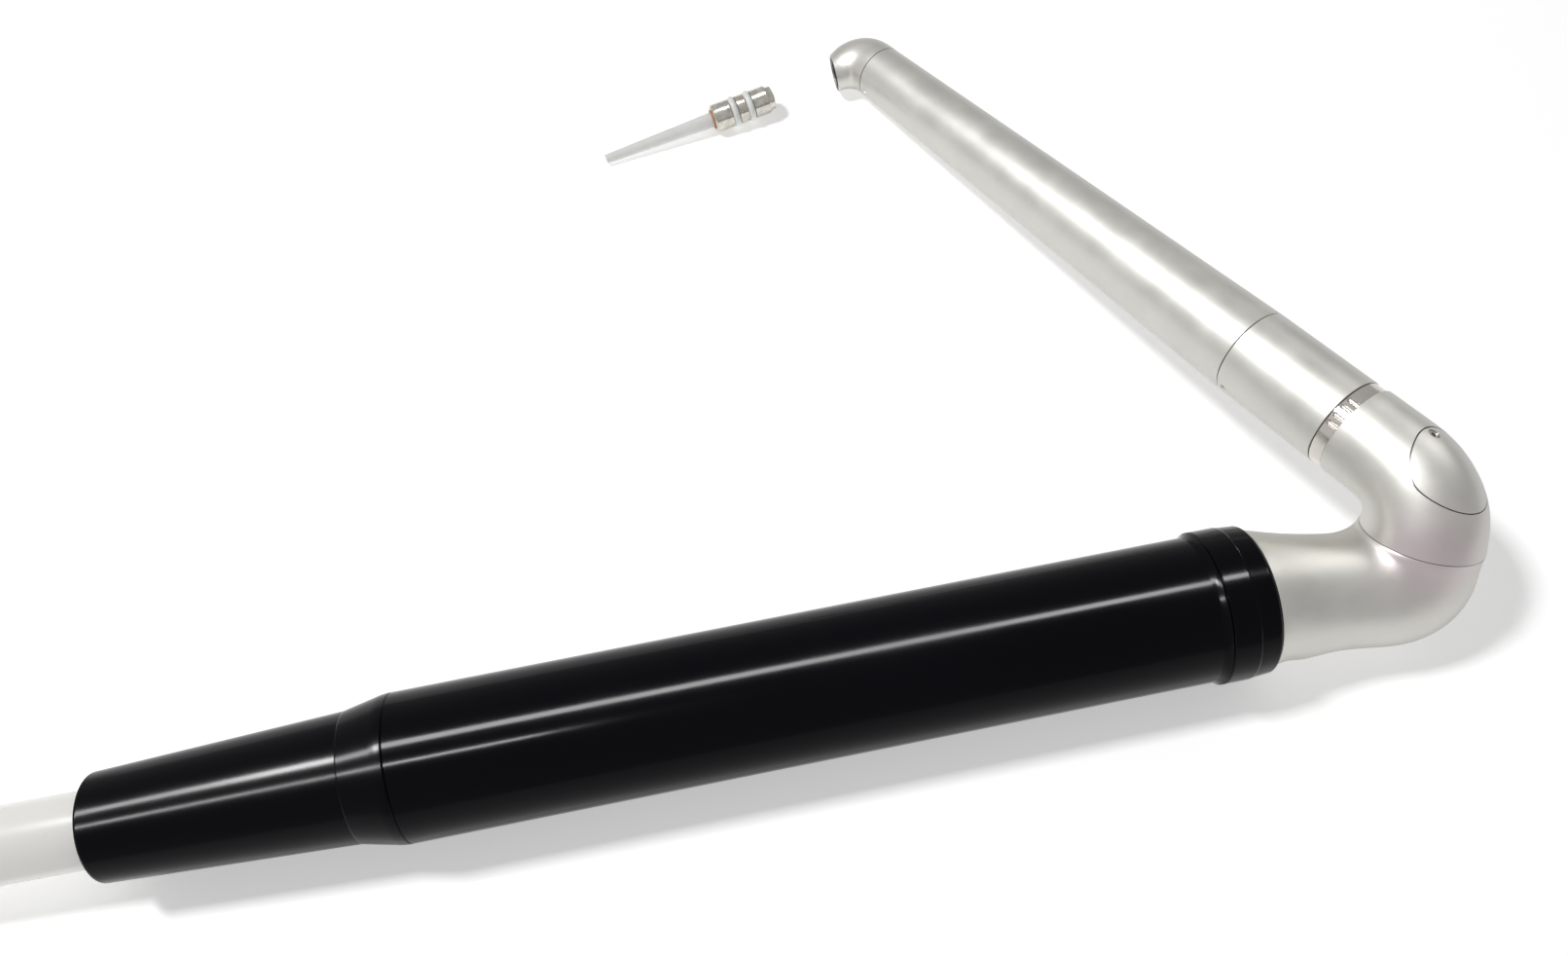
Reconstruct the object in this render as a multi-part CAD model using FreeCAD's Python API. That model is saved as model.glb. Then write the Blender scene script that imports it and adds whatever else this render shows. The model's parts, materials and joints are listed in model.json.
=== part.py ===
"""Dental laser handpiece: laser chamber in a black barrel, two swivelling mirror elbows,
a slim grip with an angled head, a pull-out tip, and the umbilical cord with its connector.

Millimetres, +Z up. The handpiece lies on a table at z = 0. The origin is the middle of its
footprint without the cord. The barrel's axis is parallel to X, its elbow end at +X.
"""
import FreeCAD
import Part
import math
import os

V = FreeCAD.Vector

# ---------------------------------------------------------------- where it lies
COLLAR_FRONT = V(80.42, -75.64, 13.703)   # barrel axis at the front face of the collar
BEND = 76.0                           # every fold mirror turns the beam by this angle
FIRST_ROLL = 30.2                     # lower elbow, leaning from +Z towards +Y
SECOND_ROLL = -60.4                   # upper elbow, turned about the elbow joint
HEAD_ROLL = 62.0                      # head, turned about the grip

# ---------------------------------------------------------------- distances along the beam
COLLAR_TO_MIRROR = 29.8
MIRROR_TO_SEAM = 6.53
SEAM_TO_MIRROR = 8.56
MIRROR_TO_RING = 17.73
RING_TO_HEAD_MIRROR = 149.4
HEAD_MIRROR_TO_FACE = 8.3
HEAD_MIRROR_TO_HUB = 25.8             # the tip is shown pulled out of the head
FACE_LEAN = 9.0                       # the head's face leans back towards the grip's line

# ---------------------------------------------------------------- barrel, stations along its axis
BOOT_REAR = -203.1
BOOT_SHOULDER = -159.3
BOOT_SEAM = -151.2
COLLAR_REAR = -8.76
BOOT_REAR_R = 9.41
BOOT_FRONT_R = 11.41
SLEEVE_R = 13.0
SLEEVE_BORE_R = 11.6
COLLAR_R = 13.68
COLLAR_FRONT_R = 13.32

# ---------------------------------------------------------------- laser chamber
CHAMBER_R = 9.2
CHAMBER_BORE_R = 8.4
CHAMBER_REAR = -128.0
CHAMBER_FRONT = -30.0
ROD_R = 2.0
LAMP_R = 1.9
LAMP_DROP = 5.2                       # the lamp lies this far below the rod
LINE_RING_R = 10.4                    # the thin lines run beside the chamber at this radius
LINE_REAR = -141.0

# ---------------------------------------------------------------- swivels and elbows
RUNNING_GAP = 0.05
JOURNAL_R = 10.2
ELBOW_SEAM_R = 10.62
SPIGOT_R = 8.5
BEAM_BORE_R = 5.0
GRIP_SPIGOT_R = 6.0

# ---------------------------------------------------------------- grip, stations from the ring's rear
RING_LENGTH = 2.9
GRIP_R = 8.93
GRIP_SEAM = 25.2
HEAD_SEAM = 143.1
HEAD_SEAM_R = 6.42
RING_R = 8.74
RING_GAP = 0.1
FLUTE_R = 0.5
FLUTE_DEPTH = 0.34
FLUTE_END = 2.15                      # where its round end is centred
FLUTE_GROUPS = 3
FLUTES_IN_GROUP = 4
FLUTE_PITCH = 11.5                    # degrees
SEAM_GAP = 0.12

# ---------------------------------------------------------------- tip, stations from the hub's rear
HUB_R = 3.4
HUB_LENGTH = 14.2
RIDGE_PITCH = 0.5
RIDGE_DEPTH = 0.1
O_RING_STATIONS = (4.9, 8.8)
O_RING_R = 3.7
SOCKET_R = 3.76
SOCKET_WALL = 0.2
GUIDE_ROOT_R = 1.78
GUIDE_END_R = 1.07
GUIDE_LENGTH = 27.5

# ---------------------------------------------------------------- umbilical cord
CORD_R = 6.75
CORD_START = -184.0                   # the cord's end inside the boot
COIL_CENTRE = V(COLLAR_FRONT.x - 335, COLLAR_FRONT.y + 81, 0)
COIL_OUTER_TURN = 81.0
COIL_INNER_TURN = 67.5
CONNECTOR_RING_R = 13.2
NOSE_R = 8.5                          # the connector's nose, which enters the unit's socket


# ================================================================ directions of the beam
def folded(direction, side):
    """The direction after a fold mirror that turns the beam towards side."""
    turn = math.radians(BEND)
    return direction * math.cos(turn) + side * math.sin(turn)


def turned_side(direction, towards, roll):
    """A unit vector square to direction, rolled from the one nearest to towards."""
    first = towards - direction * towards.dot(direction)
    first.normalize()
    second = direction.cross(first)
    angle = math.radians(roll)
    return first * math.cos(angle) + second * math.sin(angle)


BARREL = V(1, 0, 0)
FIRST_SIDE = turned_side(BARREL, V(0, 0, 1), -FIRST_ROLL)
RISER = folded(BARREL, FIRST_SIDE)
SECOND_SIDE = turned_side(RISER, BARREL * -1, SECOND_ROLL)
GRIP = folded(RISER, SECOND_SIDE)
HEAD_SIDE = turned_side(GRIP, RISER * -1, HEAD_ROLL)
TIP = folded(GRIP, HEAD_SIDE)

FIRST_MIRROR = COLLAR_FRONT + BARREL * COLLAR_TO_MIRROR
ELBOW_SEAM = FIRST_MIRROR + RISER * MIRROR_TO_SEAM
SECOND_MIRROR = ELBOW_SEAM + RISER * SEAM_TO_MIRROR
RING_REAR = SECOND_MIRROR + GRIP * MIRROR_TO_RING
HEAD_MIRROR = RING_REAR + GRIP * RING_TO_HEAD_MIRROR
HUB_REAR = HEAD_MIRROR + TIP * HEAD_MIRROR_TO_HUB


# ================================================================ shape helpers
def turned(profile, base, axis):
    """A solid of revolution. The profile is (station, radius) points round a closed outline;
    a pair of such points is an arc through the first that ends at the second."""
    def point(item):
        return V(item[1], 0, item[0])
    edges = []
    last = point(profile[0])
    for item in profile[1:]:
        if isinstance(item[0], tuple):
            middle, end = point(item[0]), point(item[1])
            edges.append(Part.Arc(last, middle, end).toShape())
        else:
            end = point(item)
            edges.append(Part.LineSegment(last, end).toShape())
        last = end
    edges.append(Part.LineSegment(last, point(profile[0])).toShape())
    shape = Part.Face(Part.Wire(edges)).revolve(V(0, 0, 0), V(0, 0, 1), 360)
    return placed(shape, base, axis)


def placed(shape, base, axis):
    """Turn a shape's +Z to the axis and move its origin to the base."""
    shape = shape.copy()
    shape.Placement = FreeCAD.Placement(base, FreeCAD.Rotation(V(0, 0, 1), axis))
    return shape


def tube(start, end, bore, radius, base, axis):
    return turned([(start, bore), (start, radius), (end, radius), (end, bore)], base, axis)


def rod(start, end, radius, base, axis):
    return Part.makeCylinder(radius, end - start, base + axis * start, axis)


def group(solids):
    return Part.makeCompound(solids)


def oval(centre, half, half_out):
    """A closed oval wire: half is the vector to one end, half_out the vector square to it."""
    count = 12
    points = []
    for step in range(count):
        angle = 2 * math.pi * step / count
        points.append(centre + half * math.cos(angle) + half_out * math.sin(angle))
    curve = Part.BSplineCurve()
    curve.interpolate(Points=points, PeriodicFlag=True)
    return Part.Wire([curve.toShape()])


def fan_loft(base, along, side, sections):
    """A bent body lofted through ovals that fan round the inside of the bend. A section is its
    inner point and outer point, each (along, side), and its half width out of the bend's plane."""
    out = along.cross(side)
    wires = []
    for inner, outer, width in sections:
        first = base + along * inner[0] + side * inner[1]
        last = base + along * outer[0] + side * outer[1]
        wires.append(oval((first + last) * 0.5, (last - first) * 0.5, out * width))
    return Part.makeLoft(wires, True, False)


def flat_prism(outline, centre, along, side, normal, start, end):
    """A prism over an outline of (along, side) points, with arcs as in turned()."""
    def point(item):
        return centre + along * item[0] + side * item[1] + normal * start
    edges = []
    last = point(outline[0])
    for item in outline[1:]:
        middle, finish = point(item[0]), point(item[1])
        edges.append(Part.Arc(last, middle, finish).toShape())
        last = finish
    return Part.Face(Part.Wire(edges)).extrude(normal * (end - start))


def wheel_of_holes(radius, hole_r, angles, start, end):
    """Round holes along the barrel, at a radius from its axis."""
    holes = []
    for angle in angles:
        turn = math.radians(angle)
        offset = V(0, math.cos(turn), math.sin(turn)) * radius
        holes.append(rod(start, end, hole_r, COLLAR_FRONT + offset, BARREL))
    return group(holes)


# ================================================================ barrel
def barrel(profile):
    return turned(profile, COLLAR_FRONT, BARREL)


def rear_boot():
    return barrel([
        (BOOT_REAR, CORD_R + 0.3), (BOOT_REAR, BOOT_REAR_R - 0.8),
        ((BOOT_REAR + 0.22, BOOT_REAR_R - 0.22), (BOOT_REAR + 0.8, BOOT_REAR_R + 0.03)),
        (BOOT_SHOULDER, BOOT_FRONT_R), (BOOT_SHOULDER + 0.25, BOOT_FRONT_R + 0.12),
        (BOOT_SEAM - 2.5, SLEEVE_R - 0.3),
        ((BOOT_SEAM - 1.3, SLEEVE_R - 0.06), (BOOT_SEAM - 0.2, SLEEVE_R)),
        (BOOT_SEAM, SLEEVE_R - 0.16), (BOOT_SEAM, SLEEVE_BORE_R),
        (BOOT_SEAM + 8, SLEEVE_BORE_R), (BOOT_SEAM + 8, 10.2), (BOOT_SEAM - 5, 10.2),
        (CORD_START, 8.9), (BOOT_REAR + 5, 8.9), (BOOT_REAR + 5, CORD_R + 0.3)])


def outer_sleeve():
    return barrel([
        (BOOT_SEAM, SLEEVE_BORE_R), (BOOT_SEAM, SLEEVE_R - 0.16), (BOOT_SEAM + 0.2, SLEEVE_R),
        (COLLAR_REAR - 1.7, SLEEVE_R),
        ((COLLAR_REAR - 0.9, SLEEVE_R + 0.22), (COLLAR_REAR - 0.25, COLLAR_R)),
        (COLLAR_REAR, COLLAR_R - 0.2), (COLLAR_REAR, SLEEVE_BORE_R)])


def front_collar():
    band_end = COLLAR_REAR + 4.6
    return barrel([
        (COLLAR_REAR, SLEEVE_BORE_R), (COLLAR_REAR, COLLAR_R - 0.2), (COLLAR_REAR + 0.2, COLLAR_R),
        (band_end, COLLAR_R), (band_end + 0.3, COLLAR_R - 0.12),
        (-0.75, COLLAR_FRONT_R), ((-0.22, COLLAR_FRONT_R - 0.2), (0, COLLAR_FRONT_R - 0.75)),
        (0, 11.2), (-0.6, 11.2), (-0.6, 10.9), (-12.9, 10.9), (-12.9, SLEEVE_BORE_R)])


def neck_bush():
    return tube(-12.9, -0.6, JOURNAL_R + RUNNING_GAP, 10.9, COLLAR_FRONT, BARREL)


def neck_wiper():
    return tube(-0.6, 0, JOURNAL_R + RUNNING_GAP, 11.2, COLLAR_FRONT, BARREL)


def cord_gland():
    return tube(-197.9, CORD_START, CORD_R, 8.85, COLLAR_FRONT, BARREL)


LINE_ANGLES = (20, 160, 200, 340)     # air, spray water and the two lamp leads


def chamber_supports():
    holes = wheel_of_holes(LINE_RING_R, 1.0, LINE_ANGLES, CHAMBER_REAR, CHAMBER_FRONT)
    rings = []
    for start in (CHAMBER_REAR + 3, CHAMBER_FRONT - 9):
        ring = tube(start, start + 5, CHAMBER_R, SLEEVE_BORE_R, COLLAR_FRONT, BARREL)
        rings.append(ring.cut(holes))
    return group(rings)


def chamber_tube():
    return tube(CHAMBER_REAR, CHAMBER_FRONT, CHAMBER_BORE_R, CHAMBER_R, COLLAR_FRONT, BARREL)


def lamp_axis():
    return COLLAR_FRONT - V(0, 0, LAMP_DROP)


def reflector_block():
    start, end = -108.0, -50.0
    block = rod(start, end, CHAMBER_BORE_R, COLLAR_FRONT, BARREL)
    middle = COLLAR_FRONT + BARREL * (start - 1) - V(0, 0, LAMP_DROP / 2)
    cavity = oval(middle, V(0, 0, 4.7), V(0, 3.9, 0))
    cavity = Part.Face(cavity).extrude(BARREL * (end - start + 2))
    return block.cut(cavity)


def chamber_cap(start, end):
    cap = rod(start, end, CHAMBER_BORE_R, COLLAR_FRONT, BARREL)
    cap = cap.cut(rod(start - 1, end + 1, ROD_R + 0.35, COLLAR_FRONT, BARREL))
    return cap.cut(rod(start - 1, end + 1, LAMP_R + 0.35, lamp_axis(), BARREL))


COOLANT_OFFSETS = (V(0, 4.4, 4.4), V(0, -4.4, 4.4))


def chamber_caps():
    rear = chamber_cap(-116.0, -108.0)
    for offset in COOLANT_OFFSETS:
        rear = rear.cut(rod(-117, -107, 1.3, COLLAR_FRONT + offset, BARREL))
    return group([rear, chamber_cap(-50.0, -42.0)])


def barrel_seals():
    """O-rings on the rod, the lamp, the rear joint and the rotary manifold."""
    seals = [tube(BOOT_SEAM + 8, BOOT_SEAM + 9.2, 10.4, SLEEVE_BORE_R, COLLAR_FRONT, BARREL)]
    for start in (-114.0, -46.0):
        for base, radius in ((COLLAR_FRONT, ROD_R), (lamp_axis(), LAMP_R)):
            seals.append(tube(start, start + 1.4, radius, radius + 0.35, base, BARREL))
    for radius in (6.6, 8.6):
        seals.append(tube(-15.2, -14.4, radius, radius + 0.9, COLLAR_FRONT, BARREL))
    return group(seals)


def laser_rod():
    return rod(-113.0, -45.0, ROD_R, COLLAR_FRONT, BARREL)


def flash_lamp():
    return rod(-115.0, -43.0, LAMP_R, lamp_axis(), BARREL)


def lamp_electrodes():
    rear = rod(-119.0, -115.0, 1.1, lamp_axis(), BARREL)
    front = rod(-43.0, -39.5, 1.1, lamp_axis(), BARREL)
    return group([rear, front])


def mirror_mount(start, end, mirror_start):
    """A disc with a pocket for a cavity mirror and a beam hole through it."""
    mount = rod(start, end, CHAMBER_BORE_R, COLLAR_FRONT, BARREL)
    mount = mount.cut(rod(start - 1, end + 1, 2.6, COLLAR_FRONT, BARREL))
    return mount.cut(rod(mirror_start, mirror_start + 2, 3.2, COLLAR_FRONT, BARREL))


def mirror_mounts():
    rear = mirror_mount(-127.0, -120.0, -122.0)
    for offset in COOLANT_OFFSETS:
        rear = rear.cut(rod(-128, -119, 1.3, COLLAR_FRONT + offset, BARREL))
    return group([rear, mirror_mount(-38.5, -32.0, -38.5)])


def cavity_mirrors():
    rear = rod(-122.0, -120.0, 3.2, COLLAR_FRONT, BARREL)
    output = rod(-38.5, -36.5, 3.2, COLLAR_FRONT, BARREL)
    return group([rear, output])


def collimator_cell():
    cell = tube(-27.0, -20.5, 4.2, SLEEVE_BORE_R, COLLAR_FRONT, BARREL)
    cell = cell.cut(rod(-25.0, -20.5, 5.0, COLLAR_FRONT, BARREL))
    return cell.cut(wheel_of_holes(LINE_RING_R, 1.0, LINE_ANGLES[:2], -28, -20))


def lens(start, thickness, radius, crown, base, axis):
    """A plano-convex lens, its crown towards the axis's positive end."""
    disc = rod(start, start + thickness, radius, base, axis)
    sphere_r = (radius ** 2 + crown ** 2) / (2 * crown)
    centre = base + axis * (start + thickness - sphere_r)
    return disc.common(Part.makeSphere(sphere_r, centre))


def collimator_lens():
    return lens(-25.0, 2.4, 5.0, 0.8, COLLAR_FRONT, BARREL)


def rotary_manifold():
    ring = tube(-19.6, -15.2, 5.6, SLEEVE_BORE_R, COLLAR_FRONT, BARREL)
    return ring.cut(wheel_of_holes(LINE_RING_R, 1.0, LINE_ANGLES[:2], -20, -17))


def straight_lines(angles, start, end, radius):
    lines = []
    for angle in angles:
        turn = math.radians(angle)
        offset = V(0, math.cos(turn), math.sin(turn)) * LINE_RING_R
        lines.append(rod(start, end, radius, COLLAR_FRONT + offset, BARREL))
    return lines


def fluid_lines():
    """Air and spray water to the manifold, and coolant to and from the chamber."""
    lines = straight_lines(LINE_ANGLES[:2], LINE_REAR, -17.0, 0.98)
    for offset in COOLANT_OFFSETS:
        lines.append(tube(CORD_START, -108.0, 0.8, 1.3, COLLAR_FRONT + offset, BARREL))
    return group(lines)


def lamp_leads():
    return group(straight_lines(LINE_ANGLES[2:], LINE_REAR, CHAMBER_FRONT - 3, 0.9))


# ================================================================ elbows
LOWER_SECTIONS = [
    ((0.3, 12.45), (0.3, -12.5), 12.45),
    ((6.0, 10.75), (6.0, -12.35), 11.5),
    ((12.6, 9.1), (12.6, -12.35), 10.75),
    ((15.8, 8.45), (19.0, -13.0), 10.65),
    ((18.0, 8.2), (28.5, -13.7), 10.85),
    ((19.6, 8.3), (37.3, -9.1), 10.85),
    ((20.45, 8.55), (40.3, -2.9), 10.7),
    ((21.07, 8.91), (41.67, 3.77), ELBOW_SEAM_R)]

UPPER_SECTIONS = [
    ((0.0, 10.62), (0.0, -10.62), ELBOW_SEAM_R),
    ((0.9, 10.5), (4.3, -9.7), 10.45),
    ((1.6, 10.65), (9.0, -7.8), 10.2),
    ((2.1, 11.1), (13.2, -4.6), 9.9),
    ((2.45, 11.95), (16.7, -0.2), 9.6),
    ((2.75, 13.3), (18.85, 4.7), 9.35),
    ((3.15, 15.2), (20.15, 9.5), 9.1),
    ((3.66, 17.33), (20.9, 12.4), 8.98),
    ((4.17, 19.37), (21.53, 15.03), GRIP_R)]


def bisector(before, after):
    """The outward normal of the mirror between two beam directions."""
    normal = before - after
    normal.normalize()
    return normal


FIRST_OUT = bisector(BARREL, RISER)
SECOND_OUT = bisector(RISER, GRIP)
HEAD_OUT = bisector(GRIP, TIP)
MIRROR_R = 4.6
MIRROR_THICKNESS = 1.5


def lower_elbow_body():
    return fan_loft(COLLAR_FRONT, BARREL, FIRST_SIDE, LOWER_SECTIONS)


LOWER_PLUG_R = 5.2


def lower_elbow_shell():
    neck = rod(-14.2, 1.0, JOURNAL_R, COLLAR_FRONT, BARREL)
    neck = neck.cut(tube(-13.9, -13.1, 9.6, 11, COLLAR_FRONT, BARREL))
    bores = rod(-15, COLLAR_TO_MIRROR, BEAM_BORE_R, COLLAR_FRONT, BARREL)
    bores = bores.fuse(rod(0, MIRROR_TO_SEAM + 1, BEAM_BORE_R, FIRST_MIRROR, RISER))
    bores = bores.fuse(rod(-0.4, 20, LOWER_PLUG_R, FIRST_MIRROR, FIRST_OUT))
    shell = lower_elbow_body().fuse(neck).cut(bores)
    return shell.cut(rod(-4.6, 1, SPIGOT_R + 0.8, ELBOW_SEAM, RISER))


def lower_mirror_plug():
    plug = rod(8.0, 20, LOWER_PLUG_R - 0.08, FIRST_MIRROR, FIRST_OUT)
    plug = plug.common(lower_elbow_body())
    return plug.cut(rod(10.6, 20, 1.4, FIRST_MIRROR, FIRST_OUT))


def lower_elbow_clips():
    """The circlip behind the neck's bush, and the snap ring that holds the upper elbow."""
    circlip = tube(-13.85, -13.15, 9.62, 11.1, COLLAR_FRONT, BARREL)
    gap = Part.makeBox(2, 3, 4, COLLAR_FRONT + V(-14.5, -1.5, 8.5))
    snap_ring = tube(-3.42, -2.78, SPIGOT_R - 0.34, SPIGOT_R + 0.36, ELBOW_SEAM, RISER)
    return group([circlip.cut(gap), snap_ring])


def lower_fold_mirror():
    return rod(0, MIRROR_THICKNESS, MIRROR_R, FIRST_MIRROR, FIRST_OUT)


def lower_mirror_seat():
    seat = rod(MIRROR_THICKNESS, 4.0, MIRROR_R, FIRST_MIRROR, FIRST_OUT)
    return seat.fuse(rod(3.4, 8.0, LOWER_PLUG_R - 0.08, FIRST_MIRROR, FIRST_OUT))


def elbow_bush():
    bush = tube(-4.5, -0.2, SPIGOT_R + RUNNING_GAP, SPIGOT_R + 0.8, ELBOW_SEAM, RISER)
    return bush.cut(tube(-3.45, -2.75, SPIGOT_R - 0.5, SPIGOT_R + 0.38, ELBOW_SEAM, RISER))


# the teardrop cover on the outside of the upper elbow, its pointed end towards the grip
COVER_OUTLINE = [
    (2.9, 7.7), ((-4.8, 0), (2.9, -7.7)), ((8.0, -6.0), (10.8, -3.0)),
    ((11.6, 0), (10.8, 3.0)), ((8.0, 6.0), (2.9, 7.7))]
COVER_FLOOR = 1.2
COVER_GAP = 0.18
COVER_OFFSET = 0.9                    # the cover lies this far to one side of the bend's plane


def cover_prism(gap, start):
    """The cover's outline as a prism, drawn in by a gap."""
    scale = 1 - gap / 7.7

    def inset(item):
        return (3.0 + (item[0] - 3.0) * scale, item[1] * scale)
    outline = [inset(COVER_OUTLINE[0])]
    for middle, end in COVER_OUTLINE[1:]:
        outline.append((inset(middle), inset(end)))
    along = RISER + GRIP
    along.normalize()
    side = along.cross(SECOND_OUT)
    centre = SECOND_MIRROR - side * COVER_OFFSET
    return flat_prism(outline, centre, along, side, SECOND_OUT, start, 20)


def cover_screw_axis():
    """Where the cover screw enters, and its direction outwards."""
    along = RISER + GRIP
    along.normalize()
    outwards = SECOND_OUT * 0.8 + along * 0.42
    outwards.normalize()
    centre = SECOND_MIRROR - along.cross(SECOND_OUT) * COVER_OFFSET
    return centre + along * 9.5 + SECOND_OUT * 2.1, outwards


SCREW_HEAD_R = 0.95
SCREW_SHANK_R = 0.55


def upper_elbow_body():
    return fan_loft(ELBOW_SEAM + RISER * SEAM_GAP, RISER, SECOND_SIDE, UPPER_SECTIONS)


def upper_elbow_shell():
    shell = upper_elbow_body()
    shell = shell.fuse(rod(-4.3, 1, SPIGOT_R, ELBOW_SEAM, RISER))
    shell = shell.fuse(rod(-2, 21.2, GRIP_SPIGOT_R, RING_REAR, GRIP))
    shell = shell.cut(rod(-5, SEAM_TO_MIRROR, BEAM_BORE_R, ELBOW_SEAM, RISER))
    shell = shell.cut(rod(0, MIRROR_TO_RING, BEAM_BORE_R, SECOND_MIRROR, GRIP))
    shell = shell.cut(rod(-1, 22, GRIP_SPIGOT_R - 1.5, RING_REAR, GRIP))
    shell = shell.cut(tube(-3.45, -2.75, SPIGOT_R - 0.38, SPIGOT_R + 1, ELBOW_SEAM, RISER))
    shell = shell.cut(tube(19.9, 20.7, GRIP_SPIGOT_R - 0.4, 8, RING_REAR, GRIP))
    shell = shell.cut(cover_prism(0, COVER_FLOOR))
    shell = shell.cut(rod(-0.4, 3, MIRROR_R + 0.2, SECOND_MIRROR, SECOND_OUT))
    base, outwards = cover_screw_axis()
    return shell.cut(rod(-2.5, 3, SCREW_SHANK_R, base, outwards))


def mirror_cover():
    cover = upper_elbow_body().common(cover_prism(COVER_GAP, COVER_FLOOR))
    cover = cover.cut(rod(0, 4.4, MIRROR_R + 0.2, SECOND_MIRROR, SECOND_OUT))
    base, outwards = cover_screw_axis()
    cover = cover.cut(rod(-3, 6, SCREW_SHANK_R, base, outwards))
    return cover.cut(rod(0.2, 6, SCREW_HEAD_R + 0.07, base, outwards))


def cover_screw():
    base, outwards = cover_screw_axis()
    screw = rod(-2.3, 0.3, SCREW_SHANK_R, base, outwards)
    screw = screw.fuse(rod(0.2, 1.15, SCREW_HEAD_R, base, outwards))
    hexagon = Part.makePolygon([
        V(0.5 * math.cos(math.radians(60 * k)), 0.5 * math.sin(math.radians(60 * k)), 0)
        for k in range(7)])
    socket = Part.Face(hexagon).extrude(V(0, 0, 2))
    return screw.cut(placed(socket, base + outwards * 0.6, outwards))


def upper_fold_mirror():
    return rod(0, MIRROR_THICKNESS, MIRROR_R, SECOND_MIRROR, SECOND_OUT)


def upper_mirror_seat():
    return rod(MIRROR_THICKNESS, 4.3, MIRROR_R, SECOND_MIRROR, SECOND_OUT)


def spigot_clip():
    ring = tube(19.95, 20.65, GRIP_SPIGOT_R - 0.38, 7.3, RING_REAR, GRIP)
    gap = Part.makeBox(3, 2, 3, V(4.5, -1, 19))
    return ring.cut(placed(gap, RING_REAR, GRIP))


# ================================================================ lock ring
def lock_ring():
    start, end = RING_GAP, RING_LENGTH - RING_GAP
    ring = turned([
        (start, GRIP_SPIGOT_R + RUNNING_GAP), (start, RING_R - 0.1), (start + 0.1, RING_R),
        (end - 0.1, RING_R), (end, RING_R - 0.1), (end, GRIP_SPIGOT_R + RUNNING_GAP)],
        RING_REAR, GRIP)
    cutters = []
    for step in range(FLUTE_GROUPS):
        for place in range(FLUTES_IN_GROUP):
            pitches = place - (FLUTES_IN_GROUP - 1) / 2
            cutters.append(ring_flute(360.0 * step / FLUTE_GROUPS + pitches * FLUTE_PITCH))
    return ring.cut(group(cutters))


def ring_flute(angle):
    """A shallow finger flute, open towards the elbow and rounded towards the grip."""
    side = turned_side(GRIP, V(-0.50, -0.11, 0.86), angle)
    base = RING_REAR + side * (RING_R + FLUTE_R - FLUTE_DEPTH)
    flute = rod(0, FLUTE_END, FLUTE_R, base, GRIP)
    return flute.fuse(Part.makeSphere(FLUTE_R, base + GRIP * FLUTE_END))


# ================================================================ grip
def grip(profile):
    return turned(profile, RING_REAR, GRIP)


def rear_grip():
    start, end = RING_LENGTH, GRIP_SEAM - SEAM_GAP / 2
    body = grip([
        (start, 7.7), (start, GRIP_R - 0.12), (start + 0.12, GRIP_R), (end - 0.1, GRIP_R),
        (end, GRIP_R - 0.1), (end, 8.35), (end - 0.4, 8.35), (end - 0.4, 7.7)])
    return body.cut(seam_dot(end - 1.6, GRIP_R, V(-0.87, -0.42, -0.25)))


def seam_dot(station, radius, towards):
    """A small round dimple that marks how two joined pieces line up."""
    side = turned_side(GRIP, towards, 0)
    return Part.makeSphere(0.8, RING_REAR + GRIP * station + side * (radius + 0.3))


def front_grip():
    start, end = GRIP_SEAM + SEAM_GAP / 2, HEAD_SEAM - SEAM_GAP / 2
    body = grip([
        (start, 8.35), (start, GRIP_R - 0.1), (start + 0.1, GRIP_R), (end - 0.1, HEAD_SEAM_R),
        (end, HEAD_SEAM_R - 0.1), (end, 5.3), (end - 3, 5.0), (45, 6.9), (45, 7.2), (33, 7.2),
        (33, 7.65), (start + 0.4, 7.65), (start + 0.4, 8.35)])
    return body.cut(seam_dot(end - 1.9, HEAD_SEAM_R, V(-0.91, -0.41, -0.05)))


def grip_bush():
    return tube(3.4, 19.6, GRIP_SPIGOT_R + RUNNING_GAP, 7.7, RING_REAR, GRIP)


def grip_joiner():
    return tube(21.4, 32.8, 6.5, 7.6, RING_REAR, GRIP)


def grip_seal():
    return tube(GRIP_SEAM - 0.4, GRIP_SEAM + 0.4, 7.7, 8.3, RING_REAR, GRIP)


def focus_cell():
    cell = tube(35.0, 44.8, 3.6, 7.15, RING_REAR, GRIP)
    return cell.cut(rod(35.0, 38.5, 4.6, RING_REAR, GRIP))


def focus_lens():
    return lens(35.6, 2.9, 4.6, 1.0, RING_REAR, GRIP)


SPRAY_OFFSET = HEAD_SIDE * -3.9
AIR_OFFSET = HEAD_SIDE * 3.9


def beam_tube():
    return tube(44.9, 139.0, 2.1, 2.6, RING_REAR, GRIP)


def spray_tubes():
    water = tube(44.9, 141.0, 0.45, 0.8, RING_REAR + SPRAY_OFFSET, GRIP)
    air = tube(44.9, 139.5, 0.45, 0.8, RING_REAR + AIR_OFFSET, GRIP)
    return group([water, air])


def tube_spacers():
    spacers = []
    for station, radius in ((78.0, 6.1), (116.0, 5.35)):
        disc = rod(station, station + 2.5, radius, RING_REAR, GRIP)
        disc = disc.cut(rod(station - 1, station + 4, 2.6, RING_REAR, GRIP))
        for offset in (SPRAY_OFFSET, AIR_OFFSET):
            disc = disc.cut(rod(station - 1, station + 4, 0.8, RING_REAR + offset, GRIP))
        spacers.append(disc)
    return group(spacers)


# ================================================================ head
HEAD_START = HEAD_SEAM + SEAM_GAP / 2 - RING_TO_HEAD_MIRROR
HEAD_SECTIONS = [
    ((HEAD_START, 6.42), (HEAD_START, -6.42), 6.42),
    ((-4.4, 6.32), (-0.5, -6.15), 6.25),
    ((-3.2, 6.6), (4.6, -3.5), 5.75),
    ((-2.75, 7.1), (6.7, 0.0), 5.25),
    ((-2.4, 7.95), (7.1, 3.7), 4.65),
    ((-2.0, 9.05), (6.2, 6.6), 4.3),
    ((-1.66, 10.3), (6.15, 8.35), 4.15)]


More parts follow.
